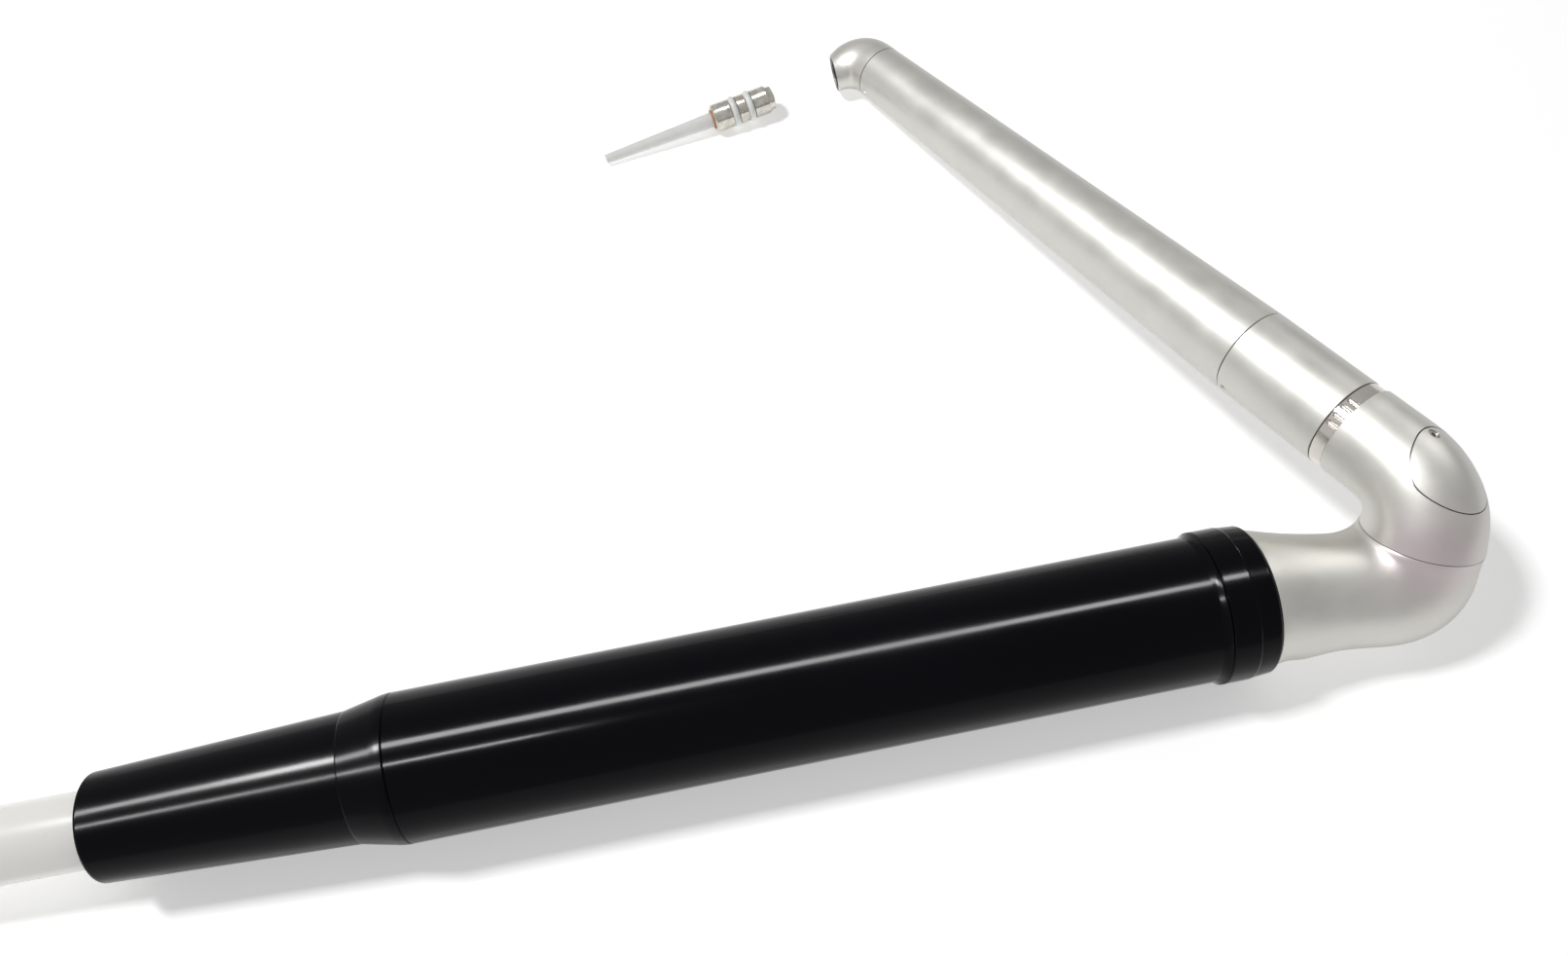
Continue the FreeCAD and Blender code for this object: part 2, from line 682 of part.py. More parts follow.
def head_body():
    body = fan_loft(HEAD_MIRROR, GRIP, HEAD_SIDE, HEAD_SECTIONS)
    return body.cut(beyond_face(0))


def beyond_face(depth):
    """The space in front of the head's leaning face, or in front of a plane under it."""
    square = GRIP - TIP * GRIP.dot(TIP)
    square.normalize()
    lean = math.radians(FACE_LEAN)
    normal = TIP * math.cos(lean) + square * math.sin(lean)
    centre = HEAD_MIRROR + TIP * (HEAD_MIRROR_TO_FACE - depth)
    return rod(0, 8, 9, centre, normal)


def head_shell():
    shell = head_body()
    shell = shell.cut(rod(HEAD_START - 1, -0.5, 4.6, HEAD_MIRROR, GRIP))
    shell = shell.cut(Part.makeSphere(4.3, HEAD_MIRROR - TIP * 1.3))
    bore = SOCKET_R + SOCKET_WALL
    return shell.cut(rod(-1.5, HEAD_MIRROR_TO_FACE + 2, bore, HEAD_MIRROR, TIP))


def tip_socket():
    bore = SOCKET_R + SOCKET_WALL
    socket = tube(-1.3, HEAD_MIRROR_TO_FACE + 1, SOCKET_R, bore, HEAD_MIRROR, TIP)
    return socket.cut(beyond_face(0.3))


def head_mirror():
    """A solid metal mirror that fills the back of the head."""
    block = rod(0, 4.0, 2.6, HEAD_MIRROR - TIP * 4.7, HEAD_OUT)
    return block.common(Part.makeSphere(4.25, HEAD_MIRROR - TIP * 1.3))


# ================================================================ tip
def hub_ridges(start, end):
    """Outline points of the fine turned ridges between two stations."""
    points = [(start, HUB_R - RIDGE_DEPTH)]
    count = round((end - start) / RIDGE_PITCH)
    pitch = (end - start) / count
    for step in range(count):
        points.append((start + pitch * (step + 0.5), HUB_R))
        points.append((start + pitch * (step + 1), HUB_R - RIDGE_DEPTH))
    return points


def tip_hub():
    front = HUB_LENGTH
    floor = 2.3
    half = 0.9
    profile = [(-1.2, 1.0), (-1.2, 2.6), (-1.05, 2.75), (-0.1, 2.75), (-0.1, 3.0)]
    start = 0.35
    for station in O_RING_STATIONS:
        profile += hub_ridges(start, station - half)
        profile += [(station - half, floor), (station + half, floor)]
        start = station + half
    profile += hub_ridges(start, front - 0.5)
    profile += [
        (front - 0.45, HUB_R - 0.05), (front, HUB_R - 0.4), (front, 2.35), (front - 0.7, 2.35),
        (front - 0.7, GUIDE_ROOT_R), (5.4, GUIDE_ROOT_R), (5.4, 1.0)]
    return turned(profile, HUB_REAR, TIP)


def tip_o_rings():
    rings = []
    for station in O_RING_STATIONS:
        rings.append(turned([
            (station - 0.66, 2.33), ((station, O_RING_R), (station + 0.66, 2.33))],
            HUB_REAR, TIP))
    return group(rings)


def guide_seal():
    return turned([
        (HUB_LENGTH - 0.7, GUIDE_ROOT_R), (HUB_LENGTH - 0.7, 2.35), (HUB_LENGTH + 0.05, 2.35),
        ((HUB_LENGTH + 0.3, 2.05), (HUB_LENGTH + 0.1, GUIDE_ROOT_R))], HUB_REAR, TIP)


def light_guide():
    end = HUB_LENGTH + GUIDE_LENGTH
    return turned([
        (5.4, 0), (5.4, GUIDE_ROOT_R), (HUB_LENGTH + 0.5, GUIDE_ROOT_R),
        (end - 0.1, GUIDE_END_R), (end, GUIDE_END_R - 0.1), (end, 0)], HUB_REAR, TIP)


# ================================================================ umbilical cord
def rounded_path(points):
    """Straight runs joined by tangent arcs, each arc as large as its two runs allow."""
    edges = []
    radii = []
    last = points[0]
    for before, corner, after in zip(points, points[1:], points[2:]):
        back = before - corner
        ahead = after - corner
        reach = 0.45 * min(back.Length, ahead.Length)
        turn = math.pi - back.getAngle(ahead)
        radii.append(reach / math.tan(turn / 2))
        back.normalize()
        ahead.normalize()
        start = corner + back * reach
        end = corner + ahead * reach
        inwards = back + ahead
        inwards.normalize()
        to_centre = radii[-1] / math.cos(turn / 2)
        middle = corner + inwards * (to_centre - radii[-1])
        edges.append(Part.LineSegment(last, start).toShape())
        edges.append(Part.Arc(start, middle, end).toShape())
        last = end
    edges.append(Part.LineSegment(last, points[-1]).toShape())
    return Part.Wire(edges), radii


def cord_tube(name, points):
    path, radii = rounded_path(points)
    heading = points[1] - points[0]
    ring = Part.Wire([Part.Circle(points[0], heading, CORD_R).toShape()])
    solid = path.makePipeShell([ring], True, False)
    expected = math.pi * CORD_R ** 2 * path.Length
    print(name, "length", round(path.Length, 1), "radii", [round(r) for r in radii],
          "volume ratio", round(solid.Volume / expected, 4))
    return solid


def from_coil(angle, radius, height):
    """A point at an angle round the coil, clockwise from its side nearest to the viewer."""
    turn = math.radians(angle)
    return COIL_CENTRE + V(-math.sin(turn) * radius, -math.cos(turn) * radius, height)


LEAD_POINTS = [
    COLLAR_FRONT + V(CORD_START, 0, 0),
    COLLAR_FRONT + V(-226, 0.8, -0.3),
    COLLAR_FRONT + V(-268, 1.5, -6.1),
    COLLAR_FRONT + V(-301, 0.4, -6.8)]

CONNECTOR_AXIS = V(0.02, 1, 0).normalize()
CONNECTOR_REAR = from_coil(97, 104, CONNECTOR_RING_R + 0.05)

TAIL_POINTS = [
    from_coil(-12, 84.5, 18.4),
    from_coil(12, 91, 17.4),
    from_coil(34, 97, 9.6),
    from_coil(55, 101, 6.95),
    from_coil(76, 103, 9.2),
    CONNECTOR_REAR - CONNECTOR_AXIS * 6,
    CONNECTOR_REAR + CONNECTOR_AXIS * 23]


def cord_lead():
    return cord_tube("cord_lead", LEAD_POINTS)


def cord_tail():
    return cord_tube("cord_tail", TAIL_POINTS)


def cord_coil():
    """The outer shape of the coil: two turns side by side and one on top between them."""
    inner = COIL_INNER_TURN - CORD_R
    outer = COIL_OUTER_TURN + CORD_R
    top = 25.3
    return turned([
        (0.05, inner + 3), (0.05, outer - 3), (3, outer), (9, outer + 0.2),
        (20, outer - 4), (top, outer - 11), (top, inner + 10), (20, inner + 5), (9, inner),
        (3, inner)], COIL_CENTRE, V(0, 0, 1))


# ================================================================ connector
def connector(profile):
    return turned(profile, CONNECTOR_REAR, CONNECTOR_AXIS)


def cord_relief():
    return connector([
        (0, CORD_R + 0.05), (0, 7.9), ((0.2, 8.3), (0.8, 8.5)), (22, 10.4), (22, 11.3),
        (30, 11.3), (30, CORD_R + 0.05)])


def connector_shell():
    return connector([
        (30, 9.6), (30, 11.4), (30.6, 12.0), (50.5, 12.0), (51, 11.5), (51, 11.0), (66, 11.0),
        (66, NOSE_R), (62, NOSE_R), (62, 9.6)])


def connector_nose():
    return connector([
        (60, 7.6), (60, 9.55), (62, 9.55), (62, NOSE_R), (69.6, NOSE_R), (69.6, NOSE_R - 0.3),
        (70.2, NOSE_R - 0.3), (70.2, NOSE_R), (83.2, NOSE_R), (84, NOSE_R - 0.6), (84, 7.6)])


def connector_insert():
    insert = rod(61, 78, 7.55, CONNECTOR_REAR, CONNECTOR_AXIS)
    for base, radius in pin_places():
        insert = insert.cut(rod(60, 80, radius, base, CONNECTOR_AXIS))
    return insert


def pin_places():
    """The connector's pins: two coolant couplings and four electrical pins."""
    side = CONNECTOR_AXIS.cross(V(0, 0, 1))
    up = V(0, 0, 1)
    places = []
    for sign in (1, -1):
        places.append((CONNECTOR_REAR + side * (4.6 * sign), 1.5))
        for height in (3.4, -3.4):
            places.append((CONNECTOR_REAR + side * (1.9 * sign) + up * height, 0.8))
    return places


def connector_pins():
    return group([rod(58, 82.5, radius, base, CONNECTOR_AXIS) for base, radius in pin_places()])


def coupling_ring():
    ring = turned([
        (51.3, 11.0 + RUNNING_GAP), (51.3, 12.6), (51.9, CONNECTOR_RING_R),
        (69.4, CONNECTOR_RING_R), (70, 12.6), (70, 11.0 + RUNNING_GAP)], V(0, 0, 0), V(0, 0, 1))
    groove = Part.makeCylinder(0.8, 12, V(CONNECTOR_RING_R + 0.35, 0, 54.5))
    cutters = []
    count = 20
    for step in range(count):
        cutter = groove.copy()
        cutter.rotate(V(0, 0, 0), V(0, 0, 1), 360.0 * step / count)
        cutters.append(cutter)
    return placed(ring.cut(group(cutters)), CONNECTOR_REAR, CONNECTOR_AXIS)


NODES = {
    "rear_boot": rear_boot,
    "outer_sleeve": outer_sleeve,
    "front_collar": front_collar,
    "neck_bush": neck_bush,
    "neck_wiper": neck_wiper,
    "cord_gland": cord_gland,
    "chamber_supports": chamber_supports,
    "chamber_tube": chamber_tube,
    "reflector_block": reflector_block,
    "chamber_caps": chamber_caps,
    "barrel_seals": barrel_seals,
    "laser_rod": laser_rod,
    "flash_lamp": flash_lamp,
    "lamp_electrodes": lamp_electrodes,
    "mirror_mounts": mirror_mounts,
    "cavity_mirrors": cavity_mirrors,
    "collimator_cell": collimator_cell,
    "collimator_lens": collimator_lens,
    "rotary_manifold": rotary_manifold,
    "fluid_lines": fluid_lines,
    "lamp_leads": lamp_leads,
    "lower_elbow_shell": lower_elbow_shell,
    "lower_mirror_plug": lower_mirror_plug,
    "lower_elbow_clips": lower_elbow_clips,
    "lower_fold_mirror": lower_fold_mirror,
    "lower_mirror_seat": lower_mirror_seat,
    "elbow_bush": elbow_bush,
    "upper_elbow_shell": upper_elbow_shell,
    "mirror_cover": mirror_cover,
    "cover_screw": cover_screw,
    "upper_fold_mirror": upper_fold_mirror,
    "upper_mirror_seat": upper_mirror_seat,
    "spigot_clip": spigot_clip,
    "lock_ring": lock_ring,
    "rear_grip": rear_grip,
    "front_grip": front_grip,
    "grip_bush": grip_bush,
    "grip_joiner": grip_joiner,
    "grip_seal": grip_seal,
    "focus_cell": focus_cell,
    "focus_lens": focus_lens,
    "beam_tube": beam_tube,
    "spray_tubes": spray_tubes,
    "tube_spacers": tube_spacers,
    "head_shell": head_shell,
    "tip_socket": tip_socket,
    "head_mirror": head_mirror,
    "tip_hub": tip_hub,
    "tip_o_rings": tip_o_rings,
    "guide_seal": guide_seal,
    "light_guide": light_guide,
    "cord_lead": cord_lead,
    "cord_coil": cord_coil,
    "cord_tail": cord_tail,
    "cord_relief": cord_relief,
    "connector_shell": connector_shell,
    "connector_nose": connector_nose,
    "connector_insert": connector_insert,
    "connector_pins": connector_pins,
    "coupling_ring": coupling_ring,
}


def main():
    os.makedirs("parts", exist_ok=True)
    for name, build in NODES.items():
        shape = build()
        shape.exportStep("parts/" + name + ".step")
        print(name, len(shape.Solids), round(shape.Volume, 1), shape.isValid())


main()
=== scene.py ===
"""Looks for the dental laser handpiece: materials, cord, floor, light and camera."""
import bpy
import json
import math
from mathutils import Matrix, Vector


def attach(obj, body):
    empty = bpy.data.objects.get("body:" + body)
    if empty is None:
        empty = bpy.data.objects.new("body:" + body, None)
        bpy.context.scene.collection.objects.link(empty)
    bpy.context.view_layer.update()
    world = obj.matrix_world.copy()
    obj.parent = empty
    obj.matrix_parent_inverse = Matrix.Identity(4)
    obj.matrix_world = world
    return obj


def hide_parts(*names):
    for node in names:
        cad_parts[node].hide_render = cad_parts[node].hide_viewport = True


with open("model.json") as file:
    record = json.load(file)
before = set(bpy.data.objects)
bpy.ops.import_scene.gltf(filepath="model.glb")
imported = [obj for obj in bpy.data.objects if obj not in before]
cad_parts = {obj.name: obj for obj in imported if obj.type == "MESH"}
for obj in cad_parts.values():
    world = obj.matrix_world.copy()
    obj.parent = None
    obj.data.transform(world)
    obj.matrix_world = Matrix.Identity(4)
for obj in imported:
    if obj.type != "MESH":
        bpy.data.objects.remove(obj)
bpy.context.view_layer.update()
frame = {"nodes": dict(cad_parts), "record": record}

MM = 0.001
MICRON = 0.000001

# ---------------------------------------------------------------- driving places, metres
COLLAR_FRONT = Vector((0.08042, -0.07564, 0.013703))
BARREL_LENGTH = 0.2031
BOOT_REAR = COLLAR_FRONT - Vector((BARREL_LENGTH, 0, 0))
ELBOW_SEAM = Vector((0.1118, -0.07245, 0.01918))
CORD_R = 0.00675
COIL_CENTRE = COLLAR_FRONT + Vector((-0.335, 0.081, -COLLAR_FRONT.z))
FLOOR_HALF = 0.55

# ---------------------------------------------------------------- directions
BARREL = Vector((1, 0, 0))
GRIP = Vector((-0.4065, 0.9056, -0.1213))
TIP = Vector((-0.9809, -0.1823, -0.0682))
CONNECTOR_AXIS = Vector((0.02, 1, 0)).normalized()


def add_object(name, data):
    made = bpy.data.objects.new(name, data)
    bpy.context.scene.collection.objects.link(made)
    return made


# ================================================================ camera
CAMERA_PLACE = COLLAR_FRONT + Vector((-0.08933, -0.08666, 0.21607))
CAMERA_RIGHT = Vector((0.9811, -0.1862, -0.0527)).normalized()
CAMERA_FORWARD = Vector((0.05134, 0.51285, -0.85694)).normalized()
LENS_MM = 30.22
SENSOR_MM = 36
NEAREST_SEEN = 0.01


def add_camera():
    data = bpy.data.cameras.new("camera")
    data.sensor_width = SENSOR_MM
    data.lens = LENS_MM
    data.clip_start = NEAREST_SEEN
    up = CAMERA_RIGHT.cross(CAMERA_FORWARD)
    turn = Matrix((CAMERA_RIGHT, up, -CAMERA_FORWARD)).transposed()
    camera = add_object("camera", data)
    camera.matrix_world = Matrix.Translation(CAMERA_PLACE) @ turn.to_4x4()
    bpy.context.scene.camera = camera


# ================================================================ cord
def from_coil(angle, radius, height):
    """A point at an angle in degrees round the coil, clockwise from its near side, from a
    radius and a height in millimetres."""
    turn = math.radians(angle)
    offset = Vector((-math.sin(turn) * radius, -math.cos(turn) * radius, height))
    return COIL_CENTRE + offset * MM


CONNECTOR_REAR = from_coil(97, 104, 13.25)
INTO_BOOT = Vector((0.004, 0, 0))
BEFORE_RELIEF = 0.006
INTO_RELIEF = 0.023

# angle, radius and height of the cord's line: an outer turn, an inner one beside it, then one
# on top between them that leads outwards at its end
COIL_STEPS = [
    (0, 81, 6.85), (300, 81, 6.85), (360, 67.5, 6.85), (600, 67.5, 6.85), (690, 69.5, 18.6),
    (720, 74.3, 18.6), (990, 74.3, 18.6), (1020, 77, 19.4), (1050, 81, 20.7), (1080, 87.5, 20.2)]
COIL_STEP_ANGLE = 15


def coil_place(angle):
    """The radius and height of the cord's line at an angle, eased from step to step."""
    for before, after in zip(COIL_STEPS, COIL_STEPS[1:]):
        if angle <= after[0]:
            part = (angle - before[0]) / (after[0] - before[0])
            smooth = part * part * (3 - 2 * part)
            return [b + (a - b) * smooth for b, a in zip(before[1:], after[1:])]


def cord_route():
    """From the boot down to the surface, round the coil, and over into the connector."""
    points = [
        BOOT_REAR + INTO_BOOT,
        COLLAR_FRONT + Vector((-0.226, 0.0008, -0.0003)),
        COLLAR_FRONT + Vector((-0.268, 0.0015, -0.0061)),
        COLLAR_FRONT + Vector((-0.301, 0.0004, -0.0068))]
    for angle in range(0, COIL_STEPS[-1][0] + COIL_STEP_ANGLE, COIL_STEP_ANGLE):
        points.append(from_coil(angle, *coil_place(angle)))
    points += [
        from_coil(12, 91, 17.4),
        from_coil(34, 97, 9.6),
        from_coil(55, 101, 6.95),
        from_coil(76, 103, 9.2),
        CONNECTOR_REAR - CONNECTOR_AXIS * BEFORE_RELIEF,
        CONNECTOR_REAR + CONNECTOR_AXIS * INTO_RELIEF]
    return points


def add_cord():
    points = cord_route()
    curve = bpy.data.curves.new("umbilical_cord", "CURVE")
    curve.dimensions = "3D"
    curve.bevel_depth = 1  # each point's own radius is the cord's
    curve.bevel_resolution = 10
    curve.resolution_u = 8
    curve.use_fill_caps = True
    spline = curve.splines.new("NURBS")
    spline.points.add(len(points) - 1)
    for target, place in zip(spline.points, points):
        target.co = (*place, 1)
        target.radius = CORD_R
    spline.order_u = 3
    spline.use_endpoint_u = True
    cord = add_object("umbilical_cord", curve)
    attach(cord, "root")
    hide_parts("cord_lead", "cord_coil", "cord_tail")
    return cord


# ================================================================ material helpers
def new_look(name, color, roughness, metallic=0.0):
    """A material with its shader set, and the tree to build on."""
    material = bpy.data.materials.new(name)
    material.use_nodes = True
    shader = material.node_tree.nodes["Principled BSDF"]
    shader.inputs["Base Color"].default_value = (*color, 1)
    shader.inputs["Roughness"].default_value = roughness
    shader.inputs["Metallic"].default_value = metallic
    return material, material.node_tree, shader


def noise(tree, size, detail=2.0, stretch=(1, 1, 1)):
    """Noise with features about size metres across, stretched along the row axes."""
    place = tree.nodes.new("ShaderNodeTexCoord")
    mapping = tree.nodes.new("ShaderNodeMapping")
    mapping.inputs["Scale"].default_value = stretch
    texture = tree.nodes.new("ShaderNodeTexNoise")
    texture.inputs["Scale"].default_value = 1 / size
    texture.inputs["Detail"].default_value = detail
    tree.links.new(place.outputs["Object"], mapping.inputs["Vector"])
    tree.links.new(mapping.outputs["Vector"], texture.inputs["Vector"])
    return texture.outputs["Fac"]


def turned_lines(tree, axis, pitch, detail=3.0):
    """Fine uneven lines round an axis, as a lathe leaves them."""
    place = tree.nodes.new("ShaderNodeTexCoord")
    along = tree.nodes.new("ShaderNodeVectorMath")
    along.operation = "DOT_PRODUCT"
    along.inputs[1].default_value = axis
    texture = tree.nodes.new("ShaderNodeTexNoise")
    texture.noise_dimensions = "1D"
    texture.inputs["Scale"].default_value = 1 / pitch
    texture.inputs["Detail"].default_value = detail
    tree.links.new(place.outputs["Object"], along.inputs[0])
    tree.links.new(along.outputs["Value"], texture.inputs["W"])
    return texture.outputs["Fac"]


def near(tree, point, reach):
    """1 at a point, falling smoothly to 0 at reach metres from it."""
    place = tree.nodes.new("ShaderNodeTexCoord")
    away = tree.nodes.new("ShaderNodeVectorMath")
    away.operation = "DISTANCE"
    away.inputs[1].default_value = point
    tree.links.new(place.outputs["Object"], away.inputs[0])
    return ranged(tree, away.outputs["Value"], 1.0, 0.0, (0.0, reach), smooth=True)


def ranged(tree, value, low, high, span=(0.3, 0.7), smooth=False):
    """The value's span mapped to low..high."""
    node = tree.nodes.new("ShaderNodeMapRange")
    if smooth:
        node.interpolation_type = "SMOOTHSTEP"
    node.inputs["From Min"].default_value = span[0]
    node.inputs["From Max"].default_value = span[1]
    node.inputs["To Min"].default_value = low
    node.inputs["To Max"].default_value = high
    tree.links.new(value, node.inputs["Value"])
    return node.outputs["Result"]


def blended(tree, factor, first, second):
    """A colour between two, each a colour or another node's output."""
    node = tree.nodes.new("ShaderNodeMix")
    node.data_type = "RGBA"
    tree.links.new(factor, node.inputs["Factor"])
    for socket, color in ((node.inputs["A"], first), (node.inputs["B"], second)):
        if isinstance(color, tuple):
            socket.default_value = (*color, 1)
        else:
            tree.links.new(color, socket)
    return node.outputs["Result"]


def vary_color(tree, shader, factor, first, second):
    tree.links.new(blended(tree, factor, first, second), shader.inputs["Base Color"])


def vary_roughness(tree, shader, value, low, high):
    tree.links.new(ranged(tree, value, low, high), shader.inputs["Roughness"])


def bumped(tree, shader, *heights):
    """Bumps on one surface, each a value and its depth in metres."""
    last = None
    for value, depth in heights:
        bump = tree.nodes.new("ShaderNodeBump")
        bump.inputs["Distance"].default_value = depth
        tree.links.new(value, bump.inputs["Height"])
        if last:
            tree.links.new(last, bump.inputs["Normal"])
        last = bump.outputs["Normal"]
    tree.links.new(last, shader.inputs["Normal"])


# ================================================================ materials
BLACK_DEEP = (0.0004, 0.0005, 0.002)
BLACK_HAZED = (0.001, 0.001, 0.003)
BLACK_SPECULAR = 0.08
ALONG_BARREL = (0.04, 1, 1)


def gloss_black(name, roughness, grain):
    """Polished black plastic with faint hairlines and a little haze from handling."""
    material, tree, shader = new_look(name, BLACK_HAZED, roughness)
    shader.inputs["Specular IOR Level"].default_value = BLACK_SPECULAR
    haze = noise(tree, 30 * MM, 3.0)
    hairline = noise(tree, 0.6 * MM, 2.0, ALONG_BARREL)
    vary_roughness(tree, shader, haze, roughness - 0.025, roughness + 0.035)
    vary_color(tree, shader, haze, BLACK_DEEP, BLACK_HAZED)
    bumped(tree, shader, (noise(tree, 4 * MM), 4 * MICRON), (hairline, grain))
    return material


def sleeve_black():
    return gloss_black("sleeve_black", 0.13, 0.8 * MICRON)


def boot_black():
    return gloss_black("boot_black", 0.17, 1.5 * MICRON)


METAL_LIGHT = (0.65, 0.64, 0.605)
METAL_DARK = (0.6, 0.59, 0.555)
METAL_EDGE = (0.8, 0.8, 0.8)
LILAC = (0.55, 0.42, 0.47)
LILAC_STRENGTH = 0.55
LILAC_CENTRE = ELBOW_SEAM + Vector((-0.0035, -0.006, 0.0053))
LILAC_REACH = 13.5 * MM


def blasted_aluminium():
    """Bead-blasted metal: an even fine grain, a slightly mottled sheen, warm light grey, and
    a faint lilac tint round a point by the elbows' seam."""
    material, tree, shader = new_look("blasted_aluminium", METAL_LIGHT, 0.4, 1.0)
    shader.inputs["Specular Tint"].default_value = (*METAL_EDGE, 1)
    mottle = noise(tree, 7 * MM, 3.0)
    grey = blended(tree, ranged(tree, mottle, 0.0, 1.0), METAL_DARK, METAL_LIGHT)
    # a lilac tint mixed into the colour, strongest at a point by the elbows' seam and gone at
    # LILAC_REACH from it
    lilac_tint = tree.nodes.new("ShaderNodeMath")
    lilac_tint.operation = "MULTIPLY"
    lilac_tint.inputs[1].default_value = LILAC_STRENGTH
    tree.links.new(near(tree, LILAC_CENTRE, LILAC_REACH), lilac_tint.inputs[0])
    vary_color(tree, shader, lilac_tint.outputs["Value"], grey, LILAC)
    vary_roughness(tree, shader, mottle, 0.38, 0.46)
    coarse, fine = noise(tree, 0.7 * MM), noise(tree, 0.25 * MM)
    bumped(tree, shader, (coarse, 3 * MICRON), (fine, 6 * MICRON))
    return material


def bright_steel():
    """The lock ring and the cover's screw: polished steel with fine lathe lines."""
    material, tree, shader = new_look("bright_steel", (0.62, 0.59, 0.55), 0.16, 1.0)
    lines = turned_lines(tree, GRIP, 0.12 * MM)
    vary_color(tree, shader, noise(tree, 4 * MM), (0.66, 0.63, 0.59), (0.54, 0.5, 0.46))
    vary_roughness(tree, shader, lines, 0.1, 0.22)
    bumped(tree, shader, (lines, 6 * MICRON))
    return material


def nickel_plate():
    """The tip's hub: bright plated metal with turned ridges, and darker patches at random."""
    material, tree, shader = new_look("nickel_plate", (0.64, 0.62, 0.57), 0.16, 1.0)
    lines = turned_lines(tree, TIP, 0.2 * MM)
    # darker patches at random across the hub, not following the ridges
    dark_patches = ranged(tree, noise(tree, 1.6 * MM), 0.0, 1.0)
    vary_color(tree, shader, dark_patches, (0.68, 0.66, 0.6), (0.48, 0.45, 0.4))
    vary_roughness(tree, shader, lines, 0.1, 0.22)
    bumped(tree, shader, (lines, 12 * MICRON))
    return material


def turned_metal(name, color, axis, pitch, roughness):
    """Machined metal with lathe lines round an axis."""
    material, tree, shader = new_look(name, color, roughness, 1.0)
    lines = turned_lines(tree, axis, pitch)
    darker = tuple(part * 0.86 for part in color)
    vary_color(tree, shader, noise(tree, 6 * MM), color, darker)
    vary_roughness(tree, shader, lines, roughness - 0.06, roughness + 0.08)
    bumped(tree, shader, (lines, 10 * MICRON))
    return material


def inner_steel():
    return turned_metal("inner_steel", (0.6, 0.6, 0.61), GRIP, 0.2 * MM, 0.26)


def inner_aluminium():
    return turned_metal("inner_aluminium", (0.74, 0.74, 0.75), BARREL, 0.3 * MM, 0.33)


def connector_metal():
    return turned_metal("connector_metal", (0.68, 0.68, 0.69), CONNECTOR_AXIS, 0.25 * MM, 0.27)


def pin_brass():
    return turned_metal("pin_brass", (0.83, 0.64, 0.3), CONNECTOR_AXIS, 0.15 * MM, 0.22)


def rubber(name, color, roughness, grain_size, depth):
    """Moulded rubber: a dull skin with a fine grain and worn lighter patches."""
    material, tree, shader = new_look(name, color, roughness)
    lighter = tuple(min(1.0, part * 1.2 + 0.01) for part in color)
    worn = ranged(tree, noise(tree, 5 * MM, 4.0), 0.0, 1.0)
    vary_color(tree, shader, worn, color, lighter)
    vary_roughness(tree, shader, noise(tree, 3 * MM), roughness - 0.08, roughness + 0.1)
    bumped(tree, shader, (noise(tree, grain_size, 3.0), depth))
    return material, shader


def seal_black():
    return rubber("seal_black", (0.02, 0.02, 0.021), 0.55, 0.3 * MM, 10 * MICRON)[0]


def seal_white():
    """Milky silicone that lets a little light into it."""
    material, shader = rubber("seal_white", (0.8, 0.81, 0.79), 0.34, 0.6 * MM, 20 * MICRON)
    shader.inputs["Subsurface Weight"].default_value = 0.35
    shader.inputs["Subsurface Radius"].default_value = (1.0, 0.95, 0.85)
    shader.inputs["Subsurface Scale"].default_value = 0.6 * MM
    return material


def seal_amber():
    return rubber("seal_amber", (0.4, 0.16, 0.05), 0.4, 0.4 * MM, 10 * MICRON)[0]


def relief_rubber():
    return rubber("relief_rubber", (0.6, 0.6, 0.57), 0.5, 0.5 * MM, 20 * MICRON)[0]


def moulded_plastic(name, color, roughness, grain_size, depth):
    """Moulded plastic with a fine spark-eroded grain and slow changes of sheen."""
    material, tree, shader = new_look(name, color, roughness)
    lighter = tuple(part * 1.12 + 0.004 for part in color)
    vary_color(tree, shader, noise(tree, 12 * MM, 3.0), color, lighter)
    vary_roughness(tree, shader, noise(tree, 8 * MM), roughness - 0.05, roughness + 0.07)
    bumped(tree, shader, (noise(tree, grain_size, 3.0), depth))
    return material, shader


def connector_black():
    color = (0.016, 0.016, 0.017)
    return moulded_plastic("connector_black", color, 0.36, 0.7 * MM, 40 * MICRON)[0]


def insert_black():
    return moulded_plastic("insert_black", (0.022, 0.022, 0.022), 0.5, 0.5 * MM, 20 * MICRON)[0]


def bush_polymer():
    return moulded_plastic("bush_polymer", (0.72, 0.64, 0.48), 0.42, 0.4 * MM, 10 * MICRON)[0]


def line_polymer():
    """Clear hose that has gone a little cloudy."""
    color = (0.78, 0.8, 0.79)
    material, shader = moulded_plastic("line_polymer", color, 0.3, 1 * MM, 10 * MICRON)
    shader.inputs["Transmission Weight"].default_value = 0.35
    return material


def reflector_ceramic():
    """White ceramic under a clear glaze."""
    color = (0.9, 0.9, 0.87)
    material, shader = moulded_plastic("reflector_ceramic", color, 0.2, 0.8 * MM, 10 * MICRON)
    shader.inputs["Coat Weight"].default_value = 0.6
    return material


CORD_WHITE = (0.93, 0.92, 0.88)
CORD_YELLOWED = (0.9, 0.87, 0.82)


def cord_jacket():
    """Smooth off-white hose: soft gloss, a faint waviness, and slight yellowing in patches."""
    material, tree, shader = new_look("cord_jacket", CORD_WHITE, 0.3)
    patches = ranged(tree, noise(tree, 45 * MM, 3.0), 0.0, 1.0)
    vary_color(tree, shader, patches, CORD_WHITE, CORD_YELLOWED)
    vary_roughness(tree, shader, noise(tree, 10 * MM), 0.25, 0.36)
    waves, grain = noise(tree, 18 * MM, 1.0), noise(tree, 0.9 * MM)
    bumped(tree, shader, (waves, 120 * MICRON), (grain, 6 * MICRON))
    return material


GUIDE_PALE = (0.97, 0.97, 0.95)
GUIDE_CLOUDED = (0.9, 0.9, 0.88)
SILICA_IOR = 1.46
CRYSTAL_IOR = 1.82


